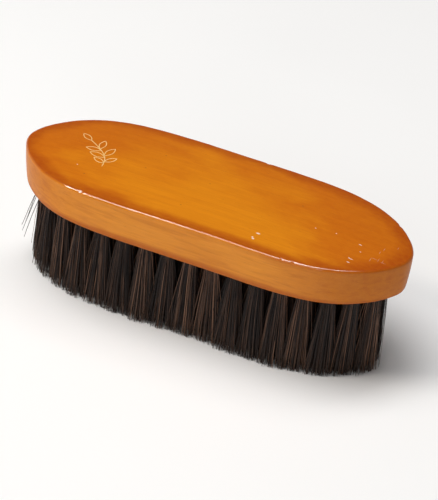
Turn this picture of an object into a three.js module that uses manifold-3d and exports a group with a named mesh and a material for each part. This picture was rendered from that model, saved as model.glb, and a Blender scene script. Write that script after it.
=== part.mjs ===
// Clothes brush: a solid wooden back with blind holes, and straight bristle tufts.
// Each tuft is a bundle folded over a flat wire anchor at the bottom of its hole.
//
// Millimetres, +Z up. The brush stands on its bristle tips: the tips are at z = 0, X runs
// along the brush and the origin is under the middle of it.

import * as THREE from 'three';
import { mergeVertices } from 'three/addons/utils/BufferGeometryUtils.js';
import Module from 'manifold-3d';

const wasm = await Module();
wasm.setup();

// ---------------------------------------------------------------- driving dimensions

// Wooden back.
const backLength = 205;
const waistHalfWidth = 37;      // at mid-length
const shoulderSwell = 2.54;     // how far the sides swell out from the waist
const endTaper = 12.64;         // how far the shoulders draw in towards the ends
const endFullness = 4.1;        // exponent of the end curve: higher is blunter
const edgeThickness = 21.2;     // underside to top edge, at mid-length
const endDrop = 1.8;            // the top edge is this much lower at the two ends
const crown = 1.5;              // the middle of the top stands this high above the edge
const topEdgeRadius = 1.5;
const sideTaper = 1.2;          // the side wall draws in by this much at the underside
const lowerEdgeChamfer = 0.8;

// Bristle field.
const bristleLength = 48.2;     // underside of the wood to the tips
const borderInset = 11.5;       // border ring of hole centres, inside the outline
const ringSpacing = 10.2;       // from each ring to the next one in
const borderCount = 34;         // half of them on each long side
const middleCount = 32;
const innerCount = 24;
const borderTipRadius = 5;
const innerTipRadius = 4.2;     // across the ring, in the two rings inside the border
const tipOverlap = 0.5;         // tufts of those two rings run together at their tips

// Tuft and its hole.
const holeRadius = 3.1;
const holeDepth = 12;
const drillPointDepth = 1.2;
const shankRadius = 2.75;       // the bundle inside its hole
const foldRadius = 1.8;         // the bundle at the top of the fold
const foldShoulder = 1;         // the fold rounds over within this depth
const foldClearance = 0.4;      // fold to the bottom of the hole

// Flat wire anchor across the hole, inside the fold.
const anchorLength = 8.6;
const anchorHeight = 1.6;
const anchorThickness = 0.5;
const anchorSkew = THREE.MathUtils.degToRad(25);   // off the length of the brush
const anchorBelowBottom = 2.4;  // hole bottom to the upper edge of the anchor
const fitGap = 0.3;

// Facets.
const outlineSegments = 72;
const tuftSides = 8;
const crownSteps = [0.66, 0.33];

// Heights that follow from them.
const undersideZ = bristleLength;
const holeBottomZ = undersideZ + holeDepth;
const foldTopZ = holeBottomZ - foldClearance;
const anchorZ = holeBottomZ - anchorBelowBottom - anchorHeight / 2;

// --------------------------------------------------------------------------- materials

const wood = new THREE.MeshStandardMaterial({ color: 0xd9821f, roughness: 0.3, metalness: 0 });
const bristle = new THREE.MeshStandardMaterial({ color: 0x2e231e, roughness: 0.55, metalness: 0 });
const wire = new THREE.MeshStandardMaterial({ color: 0xb9bcc0, roughness: 0.35, metalness: 1 });

// ------------------------------------------------------------------------ solid helpers

function toSolid(geometry) {
  const bare = geometry.clone();
  for (const name of Object.keys(bare.attributes)) {
    if (name !== 'position') {
      bare.deleteAttribute(name);
    }
  }
  const merged = mergeVertices(bare, 1e-4);
  return new wasm.Manifold(new wasm.Mesh({
    numProp: 3,
    vertProperties: Float32Array.from(merged.attributes.position.array),
    triVerts: Uint32Array.from(merged.index.array),
  }));
}

function toGeometry(solid) {
  const mesh = solid.getMesh();
  const geometry = new THREE.BufferGeometry();
  geometry.setAttribute('position', new THREE.BufferAttribute(mesh.vertProperties, 3));
  geometry.setIndex(new THREE.BufferAttribute(mesh.triVerts, 1));
  geometry.computeVertexNormals();
  return geometry;
}

// Closed skin over a stack of rings from the lowest to the highest. The rings run
// anticlockwise seen from above, and each end is closed by a fan about its centre.
function loft(rings, bottomCentre, topCentre) {
  const sides = rings[0].length;
  const points = [bottomCentre, ...rings.flat(), topCentre];
  const last = points.length - 1;
  const faces = [];
  for (let i = 0; i < sides; i += 1) {
    const next = (i + 1) % sides;
    faces.push(0, 1 + next, 1 + i);
    for (let level = 0; level < rings.length - 1; level += 1) {
      const low = 1 + level * sides;
      const high = low + sides;
      faces.push(low + i, low + next, high + next);
      faces.push(low + i, high + next, high + i);
    }
    const top = last - sides;
    faces.push(last, top + i, top + next);
  }
  const geometry = new THREE.BufferGeometry().setFromPoints(points);
  geometry.setIndex(faces);
  geometry.computeVertexNormals();
  return geometry;
}

// ------------------------------------------------------------------------------ outline

// Half of the width at a fraction u of the half-length.
function halfWidth(u) {
  const end = Math.sqrt(Math.max(0, 1 - Math.abs(u) ** endFullness));
  return end * (waistHalfWidth + shoulderSwell * u ** 2 - endTaper * u ** 6);
}

function outline(count) {
  const points = [];
  for (let i = 0; i < count; i += 1) {
    const angle = 2 * Math.PI * i / count;
    const u = Math.cos(angle);
    points.push(new THREE.Vector2(u * backLength / 2, Math.sign(Math.sin(angle)) * halfWidth(u)));
  }
  return points;
}

// The outline moved inwards by a distance, point for point.
function inset(points, distance) {
  const count = points.length;
  return points.map((point, i) => {
    const before = points[(i + count - 1) % count];
    const after = points[(i + 1) % count];
    const along = after.clone().sub(before).normalize();
    return new THREE.Vector2(point.x - along.y * distance, point.y + along.x * distance);
  });
}

// --------------------------------------------------------------------------- tuft layout

// A ring is equal steps along the inset outline. It starts at the end of the brush, or the
// given part of a step away from it. Points of the inset that come nearer to the outline than
// its distance belong to loops, and are left out.
function ringOfTufts(distance, count, start) {
  const edge = outline(1200);
  const loop = inset(edge, distance).filter((point) => {
    return edge.every((other) => point.distanceTo(other) > distance - 0.05);
  });
  const curve = new THREE.CatmullRomCurve3(
    loop.map((point) => new THREE.Vector3(point.x, point.y, 0)), true, 'centripetal');
  curve.arcLengthDivisions = 2 * loop.length;
  const tufts = [];
  for (let i = 0; i < count; i += 1) {
    const at = (i + start) / count;
    const point = curve.getPointAt(at);
    const along = curve.getTangentAt(at);
    tufts.push({ x: point.x, y: point.y, turn: Math.atan2(along.y, along.x) });
  }
  return { tufts, pitch: curve.getLength() / count };
}

// -------------------------------------------------------------------------------- pieces

// A tuft's section: a regular polygon, its flats at one radius along the tuft's ring and at
// another across it.
function tuftSection(tuft, radiusAlong, radiusAcross, z) {
  const corner = 1 / Math.cos(Math.PI / tuftSides);
  const middle = new THREE.Vector2(0, 0);
  const points = [];
  for (let i = 0; i < tuftSides; i += 1) {
    const angle = 2 * Math.PI * (i + 0.5) / tuftSides;
    const point = new THREE.Vector2(
      Math.cos(angle) * radiusAlong * corner, Math.sin(angle) * radiusAcross * corner);
    point.rotateAround(middle, tuft.turn);
    points.push(new THREE.Vector3(tuft.x + point.x, tuft.y + point.y, z));
  }
  return points;
}

function tuftGeometry(tuft, tipRadiusAlong, tipRadiusAcross) {
  const sections = [
    tuftSection(tuft, tipRadiusAlong, tipRadiusAcross, 0),
    tuftSection(tuft, shankRadius, shankRadius, undersideZ),
    tuftSection(tuft, shankRadius, shankRadius, foldTopZ - foldShoulder),
    tuftSection(tuft, foldRadius, foldRadius, foldTopZ),
  ];
  const tip = new THREE.Vector3(tuft.x, tuft.y, 0);
  const fold = new THREE.Vector3(tuft.x, tuft.y, foldTopZ);
  return loft(sections, tip, fold);
}

// Drilled hole with a conical end. It starts below the underside, to cut through it.
function holeGeometry(tuft) {
  const startZ = undersideZ - 1;
  const cornerRadius = holeRadius / Math.cos(Math.PI / tuftSides);
  const profile = [
    new THREE.Vector2(0, startZ),
    new THREE.Vector2(cornerRadius, startZ),
    new THREE.Vector2(cornerRadius, holeBottomZ),
    new THREE.Vector2(0, holeBottomZ + drillPointDepth),
  ];
  const geometry = new THREE.LatheGeometry(profile, tuftSides, Math.PI / tuftSides);
  geometry.rotateX(Math.PI / 2);
  geometry.rotateZ(tuft.turn);
  geometry.translate(tuft.x, tuft.y, 0);
  return geometry;
}

// Box along a tuft's anchor, larger than the anchor by a margin on every side.
function anchorBox(tuft, margin) {
  const geometry = new THREE.BoxGeometry(
    anchorLength + 2 * margin, anchorThickness + 2 * margin, anchorHeight + 2 * margin);
  geometry.rotateZ(anchorSkew);
  geometry.translate(tuft.x, tuft.y, anchorZ);
  return geometry;
}

function backBlank() {
  const edge = outline(outlineSegments);
  const level = (points, z) => points.map((point) => new THREE.Vector3(point.x, point.y, z));
  const edgeTop = (x) => undersideZ + edgeThickness - endDrop * (2 * x / backLength) ** 2;
  const underTop = (distance, depth) => inset(edge, distance).map((point, i) => {
    return new THREE.Vector3(point.x, point.y, edgeTop(edge[i].x) - depth);
  });
  const rings = [
    level(inset(edge, sideTaper + lowerEdgeChamfer), undersideZ),
    level(inset(edge, sideTaper), undersideZ + lowerEdgeChamfer),
  ];
  for (const turn of [0, 0.25, 0.5]) {
    const angle = turn * Math.PI;
    rings.push(underTop(
      topEdgeRadius * (1 - Math.cos(angle)), topEdgeRadius * (1 - Math.sin(angle))));
  }
  const rim = rings.at(-1);
  for (const scale of crownSteps) {
    rings.push(rim.map((point) => new THREE.Vector3(
      point.x * scale, point.y * scale, edgeTop(point.x * scale) + crown * (1 - scale ** 2))));
  }
  const bottomCentre = new THREE.Vector3(0, 0, undersideZ);
  const topCentre = new THREE.Vector3(0, 0, edgeTop(0) + crown);
  return loft(rings, bottomCentre, topCentre);
}

// ------------------------------------------------------------------------------ assembly

const brush = new THREE.Group();

function addPiece(name, geometry, material) {
  const mesh = new THREE.Mesh(geometry, material.clone());
  mesh.name = name;
  brush.add(mesh);
}

function numbered(name, index) {
  return `${name}_${String(index + 1).padStart(2, '0')}`;
}

const border = ringOfTufts(borderInset, borderCount, 0.5);
const middle = ringOfTufts(borderInset + ringSpacing, middleCount, 0.5);
const inner = ringOfTufts(borderInset + 2 * ringSpacing, innerCount, 0);
const anchored = border.tufts.filter((tuft) => tuft.y < 0);

let back = toSolid(backBlank());
for (const tuft of [...border.tufts, ...middle.tufts, ...inner.tufts]) {
  back = back.subtract(toSolid(holeGeometry(tuft)));
}
for (const tuft of anchored) {
  back = back.subtract(toSolid(anchorBox(tuft, fitGap)));
}
addPiece('brush_back', toGeometry(back), wood);

border.tufts.forEach((tuft, i) => {
  let bundle = toSolid(tuftGeometry(tuft, borderTipRadius, borderTipRadius));
  if (anchored.includes(tuft)) {
    bundle = bundle.subtract(toSolid(anchorBox(tuft, fitGap)));
  }
  addPiece(numbered('border_tuft', i), toGeometry(bundle), bristle);
});

function joinedTufts(ring) {
  const tipRadiusAlong = (ring.pitch + tipOverlap) / 2;
  const bundles = ring.tufts.map((tuft) => toSolid(tuftGeometry(tuft, tipRadiusAlong, innerTipRadius)));
  return toGeometry(bundles.reduce((whole, bundle) => whole.add(bundle)));
}

addPiece('middle_ring_tufts', joinedTufts(middle), bristle);
addPiece('inner_ring_tufts', joinedTufts(inner), bristle);

anchored.forEach((tuft, i) => {
  addPiece(numbered('tuft_anchor', i), anchorBox(tuft, 0), wire);
});

export default brush;
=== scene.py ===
"""Clothes brush: varnished wooden back, folded bristle tufts and the wire anchors that hold them.

The brush stands on its bristle tips, along X, with the tips at z = 0. Shapes are worked out
in millimetres and turned into metres when their meshes are made.
"""
import math
from collections import namedtuple

import bmesh
import bpy
import numpy as np
from mathutils import Matrix, Vector
from mathutils.bvhtree import BVHTree
from mathutils.geometry import delaunay_2d_cdt


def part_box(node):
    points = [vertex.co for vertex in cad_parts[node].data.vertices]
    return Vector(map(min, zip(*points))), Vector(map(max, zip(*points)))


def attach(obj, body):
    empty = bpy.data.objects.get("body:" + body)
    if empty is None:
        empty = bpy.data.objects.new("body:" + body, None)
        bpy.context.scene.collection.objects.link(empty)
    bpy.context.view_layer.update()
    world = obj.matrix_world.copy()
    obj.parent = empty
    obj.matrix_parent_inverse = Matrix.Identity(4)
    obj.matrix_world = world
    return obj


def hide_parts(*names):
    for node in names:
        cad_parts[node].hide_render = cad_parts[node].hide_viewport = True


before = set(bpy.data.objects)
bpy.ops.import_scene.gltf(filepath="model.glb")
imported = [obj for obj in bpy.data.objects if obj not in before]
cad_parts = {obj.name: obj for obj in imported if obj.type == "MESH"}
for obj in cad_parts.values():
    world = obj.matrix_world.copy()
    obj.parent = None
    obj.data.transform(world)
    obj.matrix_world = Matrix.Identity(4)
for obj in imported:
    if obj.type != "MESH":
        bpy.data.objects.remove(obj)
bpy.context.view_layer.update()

MM = 0.001
TAU = 2 * math.pi
SEED = 20417
BAKE_LAYOUT = "OFBake"

# ------------------------------------------------------------------ sizes, as in the CAD part

BACK_LENGTH = 205
WAIST_HALF_WIDTH = 37
SHOULDER_SWELL = 2.54
END_TAPER = 12.64
END_FULLNESS = 4.1
EDGE_THICKNESS = 21.2
END_DROP = 1.8
CROWN = 1.5
SIDE_TAPER = 1.2

UNDERSIDE_Z = 48.2
HOLE_RADIUS = 3.1
HOLE_DEPTH = 12
DRILL_POINT_DEPTH = 1.2
BORDER_INSET = 11.5
RING_SPACING = 10.2

ANCHOR_LENGTH = 8.6
ANCHOR_HEIGHT = 1.6
ANCHOR_THICKNESS = 0.5
ANCHOR_SKEW = math.radians(25)
ANCHOR_TOP_Z = UNDERSIDE_Z + HOLE_DEPTH - 2.4

HOLE_BOTTOM_Z = UNDERSIDE_Z + HOLE_DEPTH
DRILL_APEX_Z = HOLE_BOTTOM_Z + DRILL_POINT_DEPTH

# ------------------------------------------------------------------------------ scene helpers


def mesh_object(name, points, quads):
    """A smooth mesh of four-sided faces, from points in millimetres."""
    mesh = bpy.data.meshes.new(name)
    mesh.vertices.add(len(points))
    mesh.vertices.foreach_set("co", (np.asarray(points) * MM).astype(np.float32).ravel())
    mesh.loops.add(4 * len(quads))
    mesh.loops.foreach_set("vertex_index", np.asarray(quads, np.int32).ravel())
    mesh.polygons.add(len(quads))
    mesh.polygons.foreach_set("loop_start", np.arange(0, 4 * len(quads), 4, dtype=np.int32))
    mesh.polygons.foreach_set("use_smooth", np.ones(len(quads), bool))
    mesh.update(calc_edges=True)
    mesh.validate()
    piece = bpy.data.objects.new(name, mesh)
    bpy.context.scene.collection.objects.link(piece)
    return piece


def set_point_values(mesh, name, values):
    layer = mesh.attributes.new(name, "FLOAT", "POINT")
    layer.data.foreach_set("value", np.asarray(values, np.float32).ravel())


def set_bake_layout(mesh, corners):
    """Stores a flat place for each face corner, in the order of the mesh's corners."""
    layer = mesh.uv_layers.new(name=BAKE_LAYOUT)
    layer.data.foreach_set("uv", np.asarray(corners, np.float32).ravel())


def finish_piece(piece, material, replaced=()):
    piece.data.materials.append(material)
    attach(piece, "root")
    if replaced:
        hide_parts(*replaced)


# ----------------------------------------------------------------------------- node helpers


def new_material(name):
    material = bpy.data.materials.new(name)
    material.use_nodes = True
    tree = material.node_tree
    return material, tree, tree.nodes["Principled BSDF"]


def node(tree, kind, inputs=None, **settings):
    """Adds a node. Each input, by name or place, takes a value or another node's output."""
    made = tree.nodes.new(kind)
    for key, value in settings.items():
        setattr(made, key, value)
    fill(tree, made, inputs or {})
    return made


def fill(tree, target, inputs):
    for key, value in inputs.items():
        if isinstance(value, bpy.types.NodeSocket):
            tree.links.new(value, target.inputs[key])
        else:
            target.inputs[key].default_value = value


def math_node(tree, operation, *values):
    inputs = dict(enumerate(values))
    return node(tree, "ShaderNodeMath", inputs, operation=operation).outputs[0]


def times(tree, first, second):
    return math_node(tree, "MULTIPLY", first, second)


def fade(tree, value, start, end, low=0.0, high=1.0):
    """Goes smoothly from low to high while value goes from start to end."""
    inputs = {"Value": value, "From Min": start, "From Max": end, "To Min": low, "To Max": high}
    return node(tree, "ShaderNodeMapRange", inputs, interpolation_type="SMOOTHSTEP").outputs[0]


def mix_colour(tree, factor, low, high, blend="MIX"):
    made = node(tree, "ShaderNodeMix", data_type="RGBA", blend_type=blend)
    low_socket, high_socket = made.inputs[6], made.inputs[7]
    for socket, colour in ((made.inputs[0], factor), (low_socket, low), (high_socket, high)):
        if isinstance(colour, bpy.types.NodeSocket):
            tree.links.new(colour, socket)
        elif isinstance(colour, tuple):
            socket.default_value = (*colour, 1)
        else:
            socket.default_value = colour
    return made.outputs[2]


def noise(tree, size, detail=2.0, roughness=0.5, distortion=0.0):
    """Noise whose features measure size millimetres along X, Y and Z of the brush."""
    place = node(tree, "ShaderNodeTexCoord").outputs["Object"]
    scale = tuple(1 / (MM * length) for length in size)
    stretched = node(tree, "ShaderNodeMapping", {"Vector": place, "Scale": scale}).outputs[0]
    inputs = {"Vector": stretched, "Scale": 1.0, "Detail": detail,
              "Roughness": roughness, "Distortion": distortion}
    return node(tree, "ShaderNodeTexNoise", inputs).outputs["Fac"]


def attribute(tree, name):
    return node(tree, "ShaderNodeAttribute", attribute_name=name).outputs["Fac"]


# --------------------------------------------------------------------------- wooden back mesh

OUTLINE_POINTS = 720
LOWER_RADIUS = 0.8
LOWER_ROWS = 5
SIDE_ROWS = 12
SIDE_BULGE = 0.25
TOP_RADIUS = 1.3
TOP_ROWS = 9
TOP_LEAN = math.radians(5)      # the rounding stops at the slope of the crown
CROWN_ROWS = 38
AXIS_SHARE = 0.6                # the crown closes on a line this long, as a share of the brush
TURN_ROW = LOWER_ROWS + SIDE_ROWS + TOP_ROWS // 2     # the middle of the rounding: from_edge is 0
HOLE_SIDES = 24
MOUTH_CHAMFER = 0.3
HAND_WAVES = ((3, 0.10), (7, 0.06), (13, 0.045), (29, 0.03), (53, 0.02))  # number, and height
UNDERSIDE_MARK = -30.0          # "from_edge" on the underside, and in the holes
HOLE_MARK = -60.0

# Shallow dents of the top edge: place in X, side of the brush, depth, and reach along the edge.
EDGE_DENTS = [
    (-57, -1, 0.55, 1.0),
    (50, -1, 0.35, 0.9),
    (56, -1, 0.30, 1.3),
    (-80, -1, 0.25, 0.8),
    (12, 1, 0.30, 1.1),
    (88, 1, 0.35, 1.0),
]
DENT_INSET = 0.8                # from the outline to the middle of a dent
DENT_REACH_IN = 1.2             # how far a dent reaches over the rounding
DENT_SLANT = 0.7                # share of its depth that goes down, and that goes inward
CHIPPED_DEPTH = 0.5             # dents deeper than this have chipped the varnish


def half_width(u):
    end = np.sqrt(np.maximum(0, 1 - np.abs(u) ** END_FULLNESS))
    return end * (WAIST_HALF_WIDTH + SHOULDER_SWELL * u ** 2 - END_TAPER * u ** 6)


def outline(count):
    """Points in equal steps round the back, anticlockwise from its +X end."""
    turn = np.linspace(0, TAU, 8001)
    u = np.cos(turn)
    x = u * BACK_LENGTH / 2
    y = np.sign(np.sin(turn)) * half_width(u)
    travelled = np.concatenate([[0], np.cumsum(np.hypot(np.diff(x), np.diff(y)))])
    steps = np.arange(count) * travelled[-1] / count
    return np.stack([np.interp(steps, travelled, x), np.interp(steps, travelled, y)], axis=1)


def outward(points):
    along = np.roll(points, -1, axis=0) - np.roll(points, 1, axis=0)
    along /= np.linalg.norm(along, axis=1, keepdims=True)
    return np.stack([along[:, 1], -along[:, 0]], axis=1)


def edge_top(x):
    return UNDERSIDE_Z + EDGE_THICKNESS - END_DROP * (2 * x / BACK_LENGTH) ** 2


def hand_shaping(count, rng):
    """How far the sanded edge wanders from its outline, at each of its points."""
    turn = np.arange(count) * TAU / count
    total = np.zeros(count)
    for waves, height in HAND_WAVES:
        total += height * np.sin(waves * turn + rng.uniform(0, TAU))
    return total


def back_rows(edge, away, rng):
    """Rows of points from the rim of the underside, up the side and over the top."""
    wander = hand_shaping(len(edge), rng)

    def row(inset, z, share=1.0):
        place = edge - away * (inset - share * wander)[:, None]
        return np.column_stack([place, z])

    flat = np.zeros(len(edge))
    top = edge_top(edge[:, 0])
    rows = []
    for k in range(LOWER_ROWS):
        angle = k / LOWER_ROWS * math.pi / 2
        inset = SIDE_TAPER + LOWER_RADIUS * (1 - math.sin(angle))
        rows.append(row(flat + inset, flat + UNDERSIDE_Z + LOWER_RADIUS * (1 - math.cos(angle))))
    for k in range(SIDE_ROWS):
        up = k / SIDE_ROWS
        low = UNDERSIDE_Z + LOWER_RADIUS
        inset = SIDE_TAPER * (1 - up) - SIDE_BULGE * 4 * up * (1 - up)
        rows.append(row(flat + inset, low + (top - TOP_RADIUS - low) * up))
    for k in range(TOP_ROWS):
        angle = k / (TOP_ROWS - 1) * (math.pi / 2 - TOP_LEAN)
        inset = TOP_RADIUS * (1 - math.cos(angle))
        rows.append(row(flat + inset, top - TOP_RADIUS * (1 - math.sin(angle))))
    rim = rows[-1]
    sink = edge_top(rim[:, 0]) - rim[:, 2]
    axis = rim[:, :2] * (AXIS_SHARE, 0)
    for k in range(1, CROWN_ROWS + 1):
        inward = k / CROWN_ROWS
        place = rim[:, :2] + (axis - rim[:, :2]) * inward
        rise = CROWN * (1 - (1 - inward) ** 2)
        rows.append(np.column_stack([place, edge_top(place[:, 0]) + rise - sink * (1 - inward)]))
    return np.array(rows)


def dent_y(x, side):
    return side * (float(half_width(2 * x / BACK_LENGTH)) - DENT_INSET)


def press_dents(rows, from_edge):
    """Presses the dents into the rounded top edge."""
    for x, side, depth, reach in EDGE_DENTS:
        y = dent_y(x, side)
        distance = np.hypot(rows[..., 0] - x, rows[..., 1] - y)
        amount = depth * np.exp(-(distance / reach) ** 2) * np.exp(-(from_edge / DENT_REACH_IN) ** 2)
        rows[..., 2] -= DENT_SLANT * amount
        rows[..., 1] -= DENT_SLANT * amount * side


class Skin:
    """Faces of the back, gathered region by region with their bake layout and edge distance."""

    def __init__(self):
        self.points = []
        self.faces = []
        self.corners = []
        self.values = []

    def add(self, points, faces, layout, values):
        first = len(self.points)
        self.points.extend(map(tuple, points))
        self.values.extend(values)
        for face in faces:
            self.faces.append([first + i for i in face])
            self.corners.extend(tuple(layout[i]) for i in face)

    def grid(self, rows, layout, values):
        high, wide = rows.shape[:2]
        faces = []
        for r in range(high - 1):
            for c in range(wide - 1):
                low = r * wide + c
                faces.append([low, low + 1, low + wide + 1, low + wide])
        self.add(rows.reshape(-1, 3), faces, layout.reshape(-1, 2), np.ravel(values))

    def build(self, name):
        mesh = bpy.data.meshes.new(name)
        mesh.from_pydata([(x * MM, y * MM, z * MM) for x, y, z in self.points], [], self.faces)
        set_point_values(mesh, "from_edge", self.values)
        set_bake_layout(mesh, self.corners)
        work = bmesh.new()
        work.from_mesh(mesh)
        bmesh.ops.remove_doubles(work, verts=work.verts, dist=2e-6)
        bmesh.ops.dissolve_degenerate(work, edges=work.edges, dist=1e-7)
        bmesh.ops.recalc_face_normals(work, faces=work.faces)
        for face in work.faces:
            face.smooth = True
        work.to_mesh(mesh)
        work.free()
        piece = bpy.data.objects.new(name, mesh)
        bpy.context.scene.collection.objects.link(piece)
        return piece


# Where each region of the back lies in the unit square of the bake layout.
PLAN_SCALE = 0.98 / BACK_LENGTH
TOP_PLAN = (0.5, 0.19)
UNDER_PLAN = (0.5, 0.56)
SIDE_STRIPS = (0.755, 0.855)
SIDE_SCALE = 0.0036
HOLE_CELLS = (0.955, 45, 0.021)


def plan_layout(points, middle):
    return np.asarray(points)[..., :2] * PLAN_SCALE + middle


def add_side_and_top(skin, rows, from_edge):
    count = rows.shape[1]
    step = 0.98 / (count / 2)
    for strip, start in zip(SIDE_STRIPS, (0, count // 2)):
        columns = np.arange(start, start + count // 2 + 1) % count
        part = rows[:TURN_ROW + 1, columns]
        heights = from_edge[:TURN_ROW + 1, columns]
        across = 0.01 + np.arange(len(columns)) * step
        up = strip + (heights + EDGE_THICKNESS + 2) * SIDE_SCALE
        layout = np.stack([np.broadcast_to(across, up.shape), up], axis=-1)
        skin.grid(part, layout, heights)
        top = rows[TURN_ROW:, columns]
        skin.grid(top, plan_layout(top, TOP_PLAN), from_edge[TURN_ROW:, columns])


def circle(centre, radius, z, count):
    turn = np.arange(count) * TAU / count
    return np.column_stack([
        centre[0] + radius * np.cos(turn), centre[1] + radius * np.sin(turn), np.full(count, z)])


def add_underside(skin, rim, centres):
    """The flat underside, filled round the mouths of the holes."""
    loops = [rim[:, :2]]
    loops += [circle(c, HOLE_RADIUS + MOUTH_CHAMFER, 0, HOLE_SIDES)[:, :2] for c in centres]
    points, edges = [], []
    for loop in loops:
        first, count = len(points), len(loop)
        points.extend(Vector(p) for p in loop.tolist())
        edges.extend((first + i, first + (i + 1) % count) for i in range(count))
    made = delaunay_2d_cdt(points, edges, [], 2, 1e-5)
    flat = np.array([(p.x, p.y, UNDERSIDE_Z) for p in made[0]])
    skin.add(flat, made[2], plan_layout(flat, UNDER_PLAN), [UNDERSIDE_MARK] * len(flat))


def add_hole(skin, centre, index):
    profile = [
        (HOLE_RADIUS + MOUTH_CHAMFER, UNDERSIDE_Z),
        (HOLE_RADIUS, UNDERSIDE_Z + MOUTH_CHAMFER),
        (HOLE_RADIUS, HOLE_BOTTOM_Z),
        (0, DRILL_APEX_Z),
    ]
    rows = np.array([circle(centre, radius, z, HOLE_SIDES) for radius, z in profile])
    rows = np.concatenate([rows, rows[:, :1]], axis=1)
    start, per_row, size = HOLE_CELLS
    column, line = index % per_row, index // per_row
    across = 0.01 + (column + np.linspace(0.1, 0.9, HOLE_SIDES + 1)) * 0.98 / per_row
    up = start + (line + np.array([0.1, 0.25, 0.7, 0.9])) * size
    layout = np.stack(np.broadcast_arrays(across[None, :], up[:, None]), axis=-1)
    values = np.full(rows.shape[:2], HOLE_MARK)
    values[0] = UNDERSIDE_MARK
    skin.grid(rows, layout, values)


def build_back(centres, material):
    rng = np.random.default_rng(SEED)
    edge = outline(OUTLINE_POINTS)
    rows = back_rows(edge, outward(edge), rng)
    travelled = np.cumsum(np.linalg.norm(np.diff(rows, axis=0), axis=2), axis=0)
    travelled = np.concatenate([np.zeros((1, OUTLINE_POINTS)), travelled])
    from_edge = travelled - travelled[TURN_ROW]
    press_dents(rows, from_edge)
    skin = Skin()
    add_side_and_top(skin, rows, from_edge)
    add_underside(skin, rows[0], centres)
    for index, centre in enumerate(centres):
        add_hole(skin, centre, index)
    back = skin.build("varnished_back")
    finish_piece(back, material, ["brush_back"])
    return back


# ----------------------------------------------------------------------------- wood material

HONEY = (0.72, 0.240, 0.006)
# The side's honey below is the top's wood made paler and greyer: painted reflection of the pale floor
# in the side's varnish.
SIDE_HONEY_AND_FLOOR_SHEEN = (0.78, 0.285, 0.026)
AMBER = (0.58, 0.145, 0.004)
BURNT = (0.38, 0.060, 0.002)
PALE_WOOD = (0.72, 0.50, 0.27)
MARK_COLOUR = (0.95, 0.80, 0.68)
SPECK_COLOUR = (0.20, 0.07, 0.02)

# How strongly each layer covers what is under it.
# The two end amounts darken the side towards its right and left ends: painted shade.
TOP_STAIN, LOW_STAIN, RIGHT_END_SHADE, LEFT_END_SHADE = 0.8, 0.75, 0.4, 0.22
STREAKS, GRAIN, SIDE_BANDS, MOTTLE, PORES = 0.10, 0.11, 0.24, 0.10, 0.45
SPECKS, SCRATCHES, KNOCKS = 0.6, 0.3, 0.8

# Where the varnish of the top is marked. The marks are scattered at random in each area.
MARK_SEED = 1000                # beyond the numbers that the tufts use
Area = namedtuple("Area", "middle spread count long_reach short_reach crosswise")
KNOCK_AREAS = [
    Area((32, -24), (1.5, 5), 3, (0.6, 1.5), (0.5, 0.8), 0.0),
    Area((72, -10), (10, 12), 5, (0.5, 1.8), (0.25, 0.4), 0.0),
    Area((0, -5), (80, 15), 3, (0.4, 0.5), (0.35, 0.45), 0.0),
]
SCRATCH_AREAS = [Area((90, -6), (5, 9), 8, (1.3, 2.4), (0.12, 0.18), 0.6)]
SPECK_AREAS = [Area((-15, -2), (60, 20), 6, (0.5, 0.9), (0.35, 0.5), 0.0)]
CHIP_REACH = (1.3, 0.6)


def scattered(areas, rng):
    """Marks as X, Y, and reach in each direction. Crosswise is the share that lie along Y."""
    marks = []
    for area in areas:
        for _ in range(area.count):
            x, y = area.middle + rng.uniform(-1, 1, 2) * area.spread
            reach = rng.uniform(*area.long_reach), rng.uniform(*area.short_reach)
            if rng.random() < area.crosswise:
                reach = reach[::-1]
            marks.append((x, y, *reach))
    return marks


def chips():
    """Pale chips in the varnish at the deepest dents of the edge."""
    return [(x, dent_y(x, side), *CHIP_REACH)
            for x, side, depth, _ in EDGE_DENTS if depth > CHIPPED_DEPTH]


def spots(tree, places, softness):
    """1 at each place, falling to 0 at its reach, and 0 elsewhere."""
    place = node(tree, "ShaderNodeTexCoord").outputs["Object"]
    total = None
    for x, y, reach_x, reach_y in places:
        scale = (1 / (MM * reach_x), 1 / (MM * reach_y), 0)
        shift = (-x / reach_x, -y / reach_y, 0)
        local = node(tree, "ShaderNodeMapping", {"Vector": place, "Scale": scale, "Location": shift})
        away = node(tree, "ShaderNodeVectorMath", {0: local.outputs[0]}, operation="LENGTH")
        spot = fade(tree, away.outputs["Value"], 1.0, 1.0 - softness)
        total = spot if total is None else math_node(tree, "MAXIMUM", total, spot)
    return total


def base_wood(tree, x, y, from_edge, clouds):
    """Honey where it is bleached, and amber towards the ends and the far side."""
    endward = math_node(tree, "POWER", math_node(tree, "ABSOLUTE", x), 2.0)
    sunned = math_node(tree, "MULTIPLY_ADD", clouds, 0.6, 0.2)
    sunned = math_node(tree, "MULTIPLY_ADD", endward, -34.0, sunned)
    sunned = math_node(tree, "MULTIPLY_ADD", y, -3.6, sunned)
    top = mix_colour(tree, fade(tree, sunned, 0.30, 0.62), AMBER, HONEY)
    # The side takes the paler, greyer honey: painted floor reflection over the wood's own colour.
    side = mix_colour(tree, fade(tree, sunned, 0.24, 0.52), HONEY, SIDE_HONEY_AND_FLOOR_SHEEN)
    return mix_colour(tree, fade(tree, from_edge, 0.0, -1.0), top, side)


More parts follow.
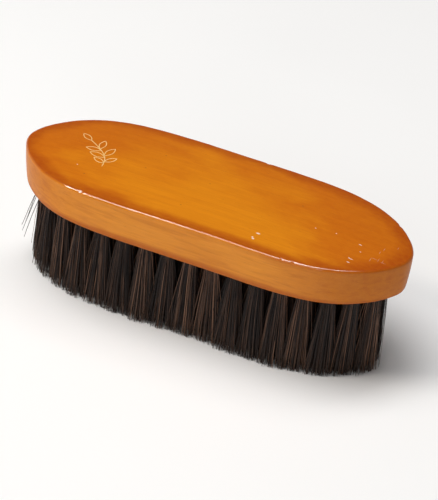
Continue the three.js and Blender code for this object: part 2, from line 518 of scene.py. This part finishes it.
def stain_and_end_shade(tree, x, from_edge, clouds, on_side):
    """Where dark stain has gathered: round the top, at its edge and low on the side; towards both
    ends of the side the darkening is painted shade.
    """
    ragged = math_node(tree, "ADD", from_edge, math_node(tree, "MULTIPLY_ADD", clouds, 16.0, -9.0))
    top = times(tree, fade(tree, ragged, 9.0, 0.0), fade(tree, from_edge, -0.2, 0.6))
    edge = times(tree, fade(tree, from_edge, -3.6, -0.6), fade(tree, from_edge, 1.2, 0.2))
    low = times(tree, fade(tree, from_edge, -15.0, -19.5), fade(tree, from_edge, -26.0, -24.0))
    amount = times(tree, top, TOP_STAIN)
    for part in (
        times(tree, edge, fade(tree, x, 0.030, 0.050, 0.15, 0.5)),
        times(tree, low, LOW_STAIN),
        # Painted shade: the side darker towards its right end and its left end.
        times(tree, fade(tree, x, 0.035, 0.080, 0.0, RIGHT_END_SHADE), on_side),
        times(tree, fade(tree, x, -0.045, -0.085, 0.0, LEFT_END_SHADE), on_side),
    ):
        amount = math_node(tree, "MAXIMUM", amount, part)
    return amount


def varnish_gloss(tree, x, from_edge):
    """Low on the side, higher on the top, and highest where the rim has been rubbed."""
    rubbed = fade(tree, noise(tree, (5, 3, 3), detail=2), 0.36, 0.60, 0.45, 1.0)
    at_rim = times(tree, fade(tree, from_edge, 1.1, 0.7),
                   fade(tree, from_edge, -0.4, 0.05, 0.0, 0.8))
    left = fade(tree, x, -0.03, 0.02, 0.9, 0.2)
    right = times(tree, fade(tree, x, 0.040, 0.060, 0.2, 1.0),
                  fade(tree, x, 0.080, 0.090, 1.0, 0.3))
    rim = times(tree, times(tree, rubbed, at_rim), math_node(tree, "MAXIMUM", left, right))
    return math_node(tree, "ADD", fade(tree, from_edge, -0.4, 0.0, 0.1, 0.2), rim)


def wood_material():
    material, tree, shader = new_material("varnished_wood")
    from_edge = attribute(tree, "from_edge")
    place = node(tree, "ShaderNodeTexCoord").outputs["Object"]
    parts = node(tree, "ShaderNodeSeparateXYZ", {0: place})
    x, y = parts.outputs["X"], parts.outputs["Y"]
    clouds = noise(tree, (46, 21, 21), detail=3, roughness=0.55, distortion=0.4)
    streaks = noise(tree, (60, 2.6, 2.6), detail=3, roughness=0.55, distortion=0.25)
    bands = noise(tree, (30, 4, 2.4), detail=2, roughness=0.5, distortion=0.4)
    grain = noise(tree, (11, 0.55, 0.55), detail=3, roughness=0.6)
    pores = noise(tree, (2.4, 0.26, 0.26), detail=1)
    mottle = noise(tree, (3.2, 2.2, 2.2), detail=2)

    upper = fade(tree, from_edge, -1.0, 0.0)
    rng = np.random.default_rng([SEED, MARK_SEED])
    specks = times(tree, spots(tree, scattered(SPECK_AREAS, rng), 0.8), upper)
    knocks = times(tree, spots(tree, scattered(KNOCK_AREAS, rng) + chips(), 0.6), upper)
    scratches = times(tree, spots(tree, scattered(SCRATCH_AREAS, rng), 0.8), upper)

    on_side = fade(tree, from_edge, -0.3, -2.0)
    low_side = fade(tree, from_edge, -0.5, -2.5)
    layers = (
        (stain_and_end_shade(tree, x, from_edge, clouds, on_side), BURNT),
        (fade(tree, streaks, 0.62, 0.40, 0.0, STREAKS), BURNT),
        (fade(tree, grain, 0.64, 0.40, 0.0, GRAIN), BURNT),
        (times(tree, fade(tree, bands, 0.52, 0.34, 0.0, SIDE_BANDS), low_side), BURNT),
        (fade(tree, mottle, 0.35, 0.65, 0.0, MOTTLE), HONEY),
        (fade(tree, pores, 0.70, 0.80, 0.0, PORES), SPECK_COLOUR),
        (fade(tree, from_edge, UNDERSIDE_MARK - 4, HOLE_MARK + 10), PALE_WOOD),
        (times(tree, specks, SPECKS), SPECK_COLOUR),
        (times(tree, scratches, SCRATCHES), MARK_COLOUR),
        (times(tree, knocks, KNOCKS), MARK_COLOUR),
    )
    colour = base_wood(tree, x, y, from_edge, clouds)
    for amount, tint in layers:
        colour = mix_colour(tree, amount, colour, tint)

    relief = math_node(tree, "ADD", times(tree, pores, -0.25), times(tree, mottle, 0.45))
    relief = math_node(tree, "SUBTRACT", relief, times(tree, knocks, 1.5))
    bump = node(tree, "ShaderNodeBump", {"Height": relief, "Strength": 0.5, "Distance": 0.00006})
    fill(tree, shader, {
        "Base Color": colour,
        "Roughness": fade(tree, grain, 0.3, 0.7, 0.34, 0.48),
        "Normal": bump.outputs[0],
        "Coat Normal": bump.outputs[0],
        "Coat Weight": varnish_gloss(tree, x, from_edge),
    })
    shader.inputs["Coat Roughness"].default_value = 0.035
    shader.inputs["Specular IOR Level"].default_value = 0.05
    shader.inputs["Coat IOR"].default_value = 2.3
    return material


# ---------------------------------------------------------------------------- bristle tufts

FIBRE_DIAMETER = 0.34
BUNDLE_RADIUS = 2.95            # in the hole
FIRST_LAYER = 0.45              # from the middle of the anchor to the first fibres beside it
LAYER_RISE = 0.31               # each layer folds this much higher over the anchor
BORDER_FLARE = (6.9, 4.9)       # tip reach along the ring and across it, in the border
INNER_FLARE = (5.9, 5.3)
SQUARENESS = 0.7                # how far the round bundle opens into a square field of tips
LEG_LEVELS = (1.0, 0.82, 0.62, 0.42, 0.2, 0.0)      # tip to mouth
ARC_TURNS = (45, 90, 135)
CLUMPS = 11
CLUMP_PULL = 0.28
WILD_SHARE = 0.12               # fibres that stray across their neighbours
WILD_REACH = (3.4, 0.45)        # along the ring and across it
TIP_JITTER = 0.12               # as a share of the tip reach, and so is the limit
TIP_LIMIT = 1.02
BOW = 0.26                      # sideways, at the middle of a leg
RAGGEDNESS = 0.2                # the tips end at uneven heights
TIP_CLEARANCE = 0.05            # from the floor to the lowest tip
WAVINESS = 0.09
STRAYS_PER_LEG = 2              # fibres bent outwards, in tufts at the left end only
STRAY_LEAST, STRAY_MOST = (-13, -5), (-7, 0)        # how far out they reach, in X and Y
STRAY_TIP_Z = (11, 24)
TIP_TAPER = 0.7
THICKNESS_RANGE = (0.75, 1.3)   # of the fibres, as a share of the diameter

DARK_FIBRE = (0.017, 0.0118, 0.0108)
BROWN_FIBRE = (0.071, 0.040, 0.028)
LIGHT_FIBRE = (0.27, 0.145, 0.092)
WORN_TIP = (0.075, 0.045, 0.032)

Tuft = namedtuple("Tuft", "centre skew along_ring flare lean strays")


def tuft_roots(rng):
    """Each folded fibre's layer beside the anchor and its place along it."""
    reach = BUNDLE_RADIUS - FIBRE_DIAMETER / 2
    layers, places = [], []
    layer = 0
    while FIRST_LAYER + layer * FIBRE_DIAMETER < reach:
        away = FIRST_LAYER + layer * FIBRE_DIAMETER
        half = math.sqrt(reach ** 2 - away ** 2)
        count = int(2 * half / FIBRE_DIAMETER) + 1
        shift = rng.uniform(-0.3, 0.3) * FIBRE_DIAMETER
        spread = np.linspace(-half, half, count) + shift
        layers.extend([layer] * count)
        places.extend(spread)
        layer += 1
    return np.array(layers), np.array(places)


def leg_tips(roots, tuft, rng):
    """Where the legs end, for their places in the hole: flared, gathered in clumps, leaning."""
    tips = roots / BUNDLE_RADIUS
    tips += rng.normal(0, TIP_JITTER, tips.shape)
    tips /= np.maximum(1, np.linalg.norm(tips, axis=1, keepdims=True) / TIP_LIMIT)
    turn = rng.uniform(0, TAU, CLUMPS)
    out = np.sqrt(rng.uniform(0.15, 0.9, CLUMPS))
    clumps = np.column_stack([out * np.cos(turn), out * np.sin(turn)])
    nearest = np.linalg.norm(tips[:, None] - clumps[None], axis=2).argmin(axis=1)
    pull = rng.uniform(0.5, 1.0, len(tips)) * CLUMP_PULL
    tips += (clumps[nearest] - tips) * pull[:, None]
    across_ring = np.array([-tuft.along_ring[1], tuft.along_ring[0]])
    tips = np.column_stack([tips @ tuft.along_ring, tips @ across_ring])
    corner = np.linalg.norm(tips, axis=1) / np.maximum(1e-6, np.abs(tips).max(axis=1))
    tips *= (1 + SQUARENESS * (corner - 1))[:, None] * tuft.flare
    wild = rng.random(len(tips)) < WILD_SHARE
    tips[wild] += rng.normal(0, WILD_REACH, (int(wild.sum()), 2))
    return tips[:, :1] * tuft.along_ring + tips[:, 1:] * across_ring + tuft.lean


def fibre_paths(tuft, rng):
    """The middle line of every folded fibre of a tuft, from tip to tip."""
    along = np.array([math.cos(tuft.skew), math.sin(tuft.skew)])
    across = np.array([-along[1], along[0]])
    layers, places = tuft_roots(rng)
    count = len(layers)
    side = FIRST_LAYER + layers * FIBRE_DIAMETER
    legs = []
    for sign in (1, -1):
        roots = places[:, None] * along + sign * side[:, None] * across
        tips = leg_tips(roots, tuft, rng)
        bow = rng.normal(0, BOW, (count, 2))
        tip_z = np.abs(rng.normal(0, RAGGEDNESS, count)) + TIP_CLEARANCE
        strays = rng.permutation(count)[:tuft.strays]
        tips[strays] = roots[strays] + rng.uniform(STRAY_LEAST, STRAY_MOST, (len(strays), 2))
        tip_z[strays] = rng.uniform(*STRAY_TIP_Z, len(strays))
        wiggle = rng.uniform(0, TAU, count)
        leg = []
        for level in LEG_LEVELS:
            swing = math.sin(math.pi * level)
            place = roots + (tips - roots) * level ** 0.88 + bow * swing
            wave = WAVINESS * np.sin(wiggle + 9 * level)[:, None]
            place = place + wave * along * min(1, 4 * level)
            z = UNDERSIDE_Z - (UNDERSIDE_Z - tip_z) * level
            leg.append(np.column_stack([place, z]))
        leg.append(np.column_stack([roots, np.full(count, ANCHOR_TOP_Z)]))
        legs.append(leg)
    arc = []
    rise = FIBRE_DIAMETER / 2 + 0.05 + layers * LAYER_RISE
    for degrees in ARC_TURNS:
        turn = math.radians(degrees)
        place = places[:, None] * along + (side * math.cos(turn))[:, None] * across
        arc.append(np.column_stack([place, ANCHOR_TOP_Z + rise * math.sin(turn)]))
    paths = np.stack(legs[0] + arc + legs[1][::-1], axis=1)
    paths[..., :2] += tuft.centre
    return paths, np.append(along, 0)


def build_tuft(name, tuft, material, replaced, rng):
    paths, along = fibre_paths(tuft, rng)
    count, stations = paths.shape[:2]
    heading = np.gradient(paths, axis=1)
    heading /= np.linalg.norm(heading, axis=2, keepdims=True)
    first = along - heading * (heading @ along)[..., None]
    first /= np.linalg.norm(first, axis=2, keepdims=True)
    second = np.cross(heading, first)
    radius = np.full(stations, FIBRE_DIAMETER / 2)
    radius[[0, -1]] *= TIP_TAPER
    thickness = rng.uniform(*THICKNESS_RANGE, count)[:, None] * radius
    corners = []
    for k in range(4):
        turn = TAU * (k + 0.5) / 4
        reach = first * math.cos(turn) + second * math.sin(turn)
        corners.append(paths + reach * thickness[..., None])
    points = np.stack(corners, axis=2)

    index = np.arange(points.size // 3).reshape(count, stations, 4)
    after = np.roll(index, -1, axis=2)
    walls = np.stack([index[:, :-1], after[:, :-1], after[:, 1:], index[:, 1:]], axis=-1)
    caps = np.stack([index[:, 0, ::-1], index[:, -1]], axis=1)
    quads = np.concatenate([walls.reshape(-1, 4), caps.reshape(-1, 4)])
    piece = mesh_object(name, points.reshape(-1, 3), quads)

    tone = 0.8 * rng.beta(0.55, 1.1, count) + 0.2 * rng.random()
    level = 1 - np.abs(np.linspace(-1, 1, stations))
    set_point_values(piece.data, "fibre_tone", np.broadcast_to(tone[:, None, None], index.shape))
    set_point_values(piece.data, "fibre_along", np.broadcast_to(level[:, None], index.shape))
    set_bake_layout(piece.data, fibre_layout(count, stations, walls.shape))
    finish_piece(piece, material, replaced)


def fibre_layout(count, stations, wall_shape):
    """Each fibre's walls and caps in its own cell of a square grid."""
    cells = math.ceil(math.sqrt(count))
    fibre = np.arange(count)
    column, line = fibre % cells, fibre // cells
    side = np.broadcast_to(np.arange(4), wall_shape[:3])
    station = np.broadcast_to(np.arange(stations - 1)[:, None], wall_shape[:3])
    u = np.stack([side, side + 1, side + 1, side], axis=-1) / 4
    v = np.stack([station, station, station + 1, station + 1], axis=-1) / (stations - 1)
    u = (column[:, None, None, None] + 0.12 + 0.76 * u) / cells
    v = (line[:, None, None, None] + 0.08 + 0.84 * v) / cells
    walls = np.stack([u, v], axis=-1).reshape(-1, 2)
    cap_u = np.array([0.12, 0.88, 0.88, 0.12])
    cap_v = np.array([[0.03, 0.03, 0.07, 0.07], [0.93, 0.93, 0.97, 0.97]])
    cap_u = (column[:, None, None] + cap_u) / cells + np.zeros((count, 2, 4))
    cap_v = (line[:, None, None] + cap_v) / cells
    caps = np.stack([cap_u, cap_v], axis=-1).reshape(-1, 2)
    return np.concatenate([walls, caps])


def bristle_material():
    material, tree, shader = new_material("dark_bristle")
    tone = attribute(tree, "fibre_tone")
    level = attribute(tree, "fibre_along")
    patches = noise(tree, (1.2, 1.2, 9.0), detail=2)
    tone = math_node(tree, "ADD", tone, math_node(tree, "MULTIPLY_ADD", patches, 0.3, -0.15))
    colour = mix_colour(tree, fade(tree, tone, 0.12, 0.58), DARK_FIBRE, BROWN_FIBRE)
    colour = mix_colour(tree, fade(tree, tone, 0.56, 0.92), colour, LIGHT_FIBRE)
    colour = mix_colour(tree, fade(tree, level, 0.25, 0.0, 0.0, 0.25), colour, WORN_TIP)
    fill(tree, shader, {"Base Color": colour})
    shader.inputs["Roughness"].default_value = 0.42
    shader.inputs["Specular IOR Level"].default_value = 0.24
    return material


# ------------------------------------------------------------------------------ wire anchors

ANCHOR_SECTION = 12
ANCHOR_STATIONS = 9
ANCHOR_SAG = 0.12
SHEAR = 0.16                    # the cropped ends lean by this much of the wire's height


def build_anchor(name, centre, skew, material, replaced, rng):
    """Flat wire with rounded edges, cropped at a slant and slightly bowed when driven in."""
    turn = (np.arange(ANCHOR_SECTION) + 0.5) * TAU / ANCHOR_SECTION
    half_thickness, half_height = ANCHOR_THICKNESS / 2, ANCHOR_HEIGHT / 2
    side = half_thickness * np.sign(np.cos(turn)) * np.abs(np.cos(turn)) ** 0.35
    up = half_height * np.sign(np.sin(turn)) * np.abs(np.sin(turn)) ** 0.55
    lean = rng.choice([-1, 1]) * SHEAR
    rows = []
    for share in np.linspace(-1, 1, ANCHOR_STATIONS):
        swell = 1.0 if abs(share) < 0.99 else 0.86
        length = share * (ANCHOR_LENGTH / 2 - SHEAR * half_height) + lean * up
        drop = -ANCHOR_SAG * share ** 2
        rows.append(np.column_stack([length, side * swell, up * swell + drop]))
    points = np.array(rows)
    along = np.array([math.cos(skew), math.sin(skew), 0])
    across = np.array([-along[1], along[0], 0])
    middle = np.array([*centre, ANCHOR_TOP_Z - half_height])
    placed = (middle + points[..., :1] * along + points[..., 1:2] * across
              + points[..., 2:] * np.array([0, 0, 1]))
    index = np.arange(placed.size // 3).reshape(ANCHOR_STATIONS, ANCHOR_SECTION)
    after = np.roll(index, -1, axis=1)
    walls = np.stack([index[:-1], after[:-1], after[1:], index[1:]], axis=-1).reshape(-1, 4)
    caps = []
    for ring, order in ((index[0], -1), (index[-1], 1)):
        half = ANCHOR_SECTION // 2
        for k in range(half - 1):
            caps.append([ring[k], ring[k + 1], ring[-2 - k], ring[-1 - k]][::order])
    piece = mesh_object(name, placed.reshape(-1, 3), np.concatenate([walls, np.array(caps)]))
    finish_piece(piece, material, replaced)


def wire_material():
    material, tree, shader = new_material("drawn_wire")
    drawn = noise(tree, (6, 0.12, 0.12), detail=2)
    tarnish = noise(tree, (2.5, 2.5, 2.5), detail=3)
    colour = mix_colour(tree, fade(tree, drawn, 0.35, 0.65), (0.50, 0.50, 0.50), (0.62, 0.62, 0.62))
    colour = mix_colour(tree, fade(tree, tarnish, 0.5, 0.72, 0.0, 0.5), colour, (0.33, 0.29, 0.25))
    fill(tree, shader, {
        "Base Color": colour,
        "Roughness": fade(tree, drawn, 0.3, 0.7, 0.28, 0.45),
    })
    shader.inputs["Metallic"].default_value = 1.0
    return material


# ------------------------------------------------------------------------- ornament on the top

LINE_WIDTH = 0.42
LINE_PROUD = 0.03
LINE_ROOT = 0.07                # the line reaches this far into the wood
LEAF_LENGTH = 8.6
LEAF_FULLNESS = 0.2


def leaf(root, heading, length):
    """A pointed leaf as a closed line."""
    share = np.linspace(0, 1, 17)
    swell = LEAF_FULLNESS * length * np.sin(math.pi * share) ** 0.9
    ahead = np.array([math.cos(heading), math.sin(heading)])
    aside = np.array([-ahead[1], ahead[0]])
    middle = root + share[:, None] * length * ahead
    there = middle + swell[:, None] * aside
    back = middle[::-1] - swell[::-1, None] * aside
    return np.concatenate([there, back[1:-1]])


def sprig():
    """Lines of a leafy sprig: open or closed, each with its points in X and Y."""
    share = np.linspace(0, 1, 33)
    stem = np.column_stack([-57.0 - 15.0 * share + 4.0 * np.sin(math.pi * share),
                            -11.5 + 19.0 * share])
    lines = [(False, stem)]
    for at, turn, size in ((5, 58, 0.8), (7, -55, 0.8), (13, 52, 1.0), (15, -50, 1.0),
                           (21, 46, 0.95), (23, -44, 0.95), (32, 0, 0.9)):
        ahead = stem[min(at + 1, 32)] - stem[at - 1]
        heading = math.atan2(ahead[1], ahead[0]) + math.radians(turn)
        lines.append((True, leaf(stem[at], heading, LEAF_LENGTH * size)))
    return lines


def build_ornament(back, material):
    """Raised lines of constant width that follow the surface of the top."""
    surface = BVHTree.FromPolygons(
        [v.co.copy() for v in back.data.vertices], [tuple(p.vertices) for p in back.data.polygons])

    def height(x, y):
        hit = surface.ray_cast(Vector((x * MM, y * MM, 1.0)), Vector((0, 0, -1)))
        return hit[0].z / MM

    points, quads = [], []
    for closed, line in sprig():
        count = len(line)
        ahead = np.roll(line, -1, axis=0) - np.roll(line, 1, axis=0)
        if not closed:
            ahead[0], ahead[-1] = line[1] - line[0], line[-1] - line[-2]
        ahead /= np.linalg.norm(ahead, axis=1, keepdims=True)
        aside = np.column_stack([-ahead[:, 1], ahead[:, 0]]) * LINE_WIDTH / 2
        first = len(points)
        for place, offset in zip(line, aside):
            for x, y, rise in ((*(place - offset), -LINE_ROOT), (*(place + offset), -LINE_ROOT),
                               (*(place + offset), LINE_PROUD), (*(place - offset), LINE_PROUD)):
                points.append((x, y, height(x, y) + rise))
        for k in range(count if closed else count - 1):
            low, high = first + 4 * k, first + 4 * ((k + 1) % count)
            quads += [[low + (c + 1) % 4, low + c, high + c, high + (c + 1) % 4] for c in range(4)]
        if not closed:
            end = first + 4 * (count - 1)
            quads += [[first + c for c in range(4)], [end + c for c in (3, 2, 1, 0)]]
    piece = mesh_object("sprig_ornament", points, quads)
    piece.data.polygons.foreach_set("use_smooth", np.zeros(len(quads), bool))
    finish_piece(piece, material)


def foil_material():
    material, tree, shader = new_material("pale_gold_print")
    wear = noise(tree, (0.9, 0.9, 0.9), detail=3)
    patches = noise(tree, (9, 6, 6), detail=2)
    colour = mix_colour(tree, fade(tree, patches, 0.35, 0.65), (0.80, 0.50, 0.17), (0.88, 0.60, 0.25))
    colour = mix_colour(tree, fade(tree, wear, 0.56, 0.76, 0.0, 0.7), colour, (0.74, 0.32, 0.05))
    fill(tree, shader, {"Base Color": colour, "Roughness": fade(tree, wear, 0.3, 0.7, 0.4, 0.6)})
    return material


# -------------------------------------------------------------------- camera, floor and lights

AIM = Vector((0.00971, -0.01375, 0.04594))
CAMERA_DISTANCE_M = 1.26195
CAMERA_AZIMUTH = math.radians(20.417)       # from -Y towards +X
CAMERA_ELEVATION = math.radians(34.787)
CAMERA_ROLL = math.radians(6.467)
LENS = 186.3

HORIZON_GLOW = 0.50
SKY_GLOW = 0.06
SUN_STRENGTH = 1.1
SUN_FROM = (-0.286, -0.10, 0.953)


def add_camera():
    azimuth, elevation, roll = CAMERA_AZIMUTH, CAMERA_ELEVATION, CAMERA_ROLL
    backward = Vector((math.sin(azimuth) * math.cos(elevation),
                       -math.cos(azimuth) * math.cos(elevation), math.sin(elevation)))
    level = Vector((math.cos(azimuth), math.sin(azimuth), 0))
    upright = backward.cross(level)
    right = level * math.cos(roll) + upright * math.sin(roll)
    up = upright * math.cos(roll) - level * math.sin(roll)
    camera = bpy.data.objects.new("camera", bpy.data.cameras.new("camera"))
    placed = Matrix((right, up, backward)).transposed().to_4x4()
    placed.translation = AIM + backward * CAMERA_DISTANCE_M
    camera.matrix_world = placed
    camera.data.lens = LENS
    camera.data.clip_start = 0.01
    bpy.context.scene.collection.objects.link(camera)
    bpy.context.scene.camera = camera


def add_softbox(name, place, size, watts, colour):
    data = bpy.data.lights.new(name, "AREA")
    data.shape = "RECTANGLE"
    data.size, data.size_y = size
    data.energy = watts
    data.color = colour
    lamp = bpy.data.objects.new(name, data)
    lamp.location = place
    lamp.rotation_euler = (AIM - Vector(place)).to_track_quat("-Z", "Y").to_euler()
    bpy.context.scene.collection.objects.link(lamp)


def add_floor():
    half = 6000.0
    corners = [(-half, -half, 0), (half, -half, 0), (half, half, 0), (-half, half, 0)]
    floor = mesh_object("floor", corners, [[0, 1, 2, 3]])
    material, tree, shader = new_material("pale_floor")
    soft = noise(tree, (240, 240, 240), detail=2)
    colour = mix_colour(tree, fade(tree, soft, 0.3, 0.7), (0.93, 0.93, 0.93), (0.95, 0.95, 0.95))
    fill(tree, shader, {"Base Color": colour})
    shader.inputs["Roughness"].default_value = 0.9
    shader.inputs["Specular IOR Level"].default_value = 0.1
    floor.data.materials.append(material)


def add_sun():
    """A wide, soft light that reaches the far floor as well."""
    data = bpy.data.lights.new("sun", "SUN")
    data.energy = SUN_STRENGTH
    data.angle = math.radians(35)
    lamp = bpy.data.objects.new("sun", data)
    lamp.rotation_euler = (-Vector(SUN_FROM)).to_track_quat("-Z", "Y").to_euler()
    bpy.context.scene.collection.objects.link(lamp)


def add_world():
    """Pale near the horizon and dim overhead."""
    world = bpy.data.worlds.new("studio")
    world.use_nodes = True
    background = world.node_tree.nodes["Background"]
    background.inputs["Color"].default_value = (1.0, 0.99, 0.98, 1)
    tree = world.node_tree
    upward = node(tree, "ShaderNodeSeparateXYZ",
                  {0: node(tree, "ShaderNodeTexCoord").outputs["Generated"]}).outputs["Z"]
    fill(tree, background, {"Strength": fade(tree, upward, 0.08, 0.40, HORIZON_GLOW, SKY_GLOW)})
    bpy.context.scene.world = world


# ------------------------------------------------------------------------------- the brush


def drilled_centres():
    """Hole centres in X and Y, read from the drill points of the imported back."""
    drill_point = DRILL_APEX_Z * MM
    found = []
    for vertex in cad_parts["brush_back"].data.vertices:
        if abs(vertex.co.z - drill_point) < 1e-5:
            found.append((vertex.co.x / MM, vertex.co.y / MM))
    return np.unique(np.round(found, 2), axis=0)


def ring_of(centre, edge):
    """0 for the border ring, 1 for the middle one and 2 for the inner one, and its direction."""
    distance = np.hypot(*(edge - centre).T)
    nearest = distance.argmin()
    away = outward(edge)[nearest]
    ring = round((distance[nearest] - BORDER_INSET) / RING_SPACING)
    return ring, np.array([-away[1], away[0]])


def node_middles(prefix):
    """Each CAD node of that name with the middle of its box in X and Y."""
    names = sorted(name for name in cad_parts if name.startswith(prefix))
    boxes = [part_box(name) for name in names]
    return [(name, (low[0] + high[0]) / 2 / MM, (low[1] + high[1]) / 2 / MM)
            for name, (low, high) in zip(names, boxes)]


def node_at(middles, centre):
    """The node whose middle is within a millimetre of the centre, if there is one."""
    for name, x, y in middles:
        if math.hypot(x - centre[0], y - centre[1]) < 1:
            return name
    return None


def tuft_lean(end, rng):
    """How far the tips lean off the hole: outwards at the left end, inwards at the right."""
    return np.array([0.7 * min(end, 0) - 1.3 * max(end, 0) ** 3, 0.0]) + rng.normal(0, 0.45, 2)


def build_bristles(centres):
    fibre, wire = bristle_material(), wire_material()
    edge = outline(OUTLINE_POINTS)
    tuft_nodes, anchor_nodes = node_middles("border_tuft"), node_middles("tuft_anchor")
    counts = [0, 0, 0]
    for index, centre in enumerate(centres):
        rng = np.random.default_rng([SEED, index])
        ring, along_ring = ring_of(centre, edge)
        counts[ring] += 1
        place = ("border", "middle", "inner")[ring]
        label = f"{place}_{counts[ring]:02d}"
        tuft_node = node_at(tuft_nodes, centre) or f"{place}_ring_tufts"
        anchor_node = node_at(anchor_nodes, centre)
        turned = 0 if anchor_node else math.radians(rng.uniform(-7, 7))
        skew = ANCHOR_SKEW + turned
        end = centre[0] / (BACK_LENGTH / 2)
        lean = tuft_lean(end, rng)
        strays = STRAYS_PER_LEG if end < -0.8 and centre[1] < 5 else 0
        flare = INNER_FLARE if ring else BORDER_FLARE
        tuft = Tuft(centre, skew, along_ring, flare, lean, strays)
        build_tuft(f"bristles_{label}", tuft, fibre, [tuft_node], rng)
        build_anchor(f"anchor_{label}", centre, skew, wire,
                     [anchor_node] if anchor_node else [], rng)


bpy.context.scene.view_settings.view_transform = "Standard"
add_camera()
add_world()
add_sun()
add_floor()
add_softbox("overhead", (-0.18, 0.1, 1.5), (1.3, 0.45), 9.2, (1.0, 0.995, 0.99))
add_softbox("key", (-0.85, -0.60, 1.10), (0.36, 0.24), 6.2, (1.0, 0.95, 0.87))
add_softbox("fill", (0.0, -1.7, 1.1), (1.4, 0.8), 5.6, (1.0, 1.0, 1.0))

hole_centres = drilled_centres()
wooden_back = build_back(hole_centres, wood_material())
build_ornament(wooden_back, foil_material())
build_bristles(hole_centres)
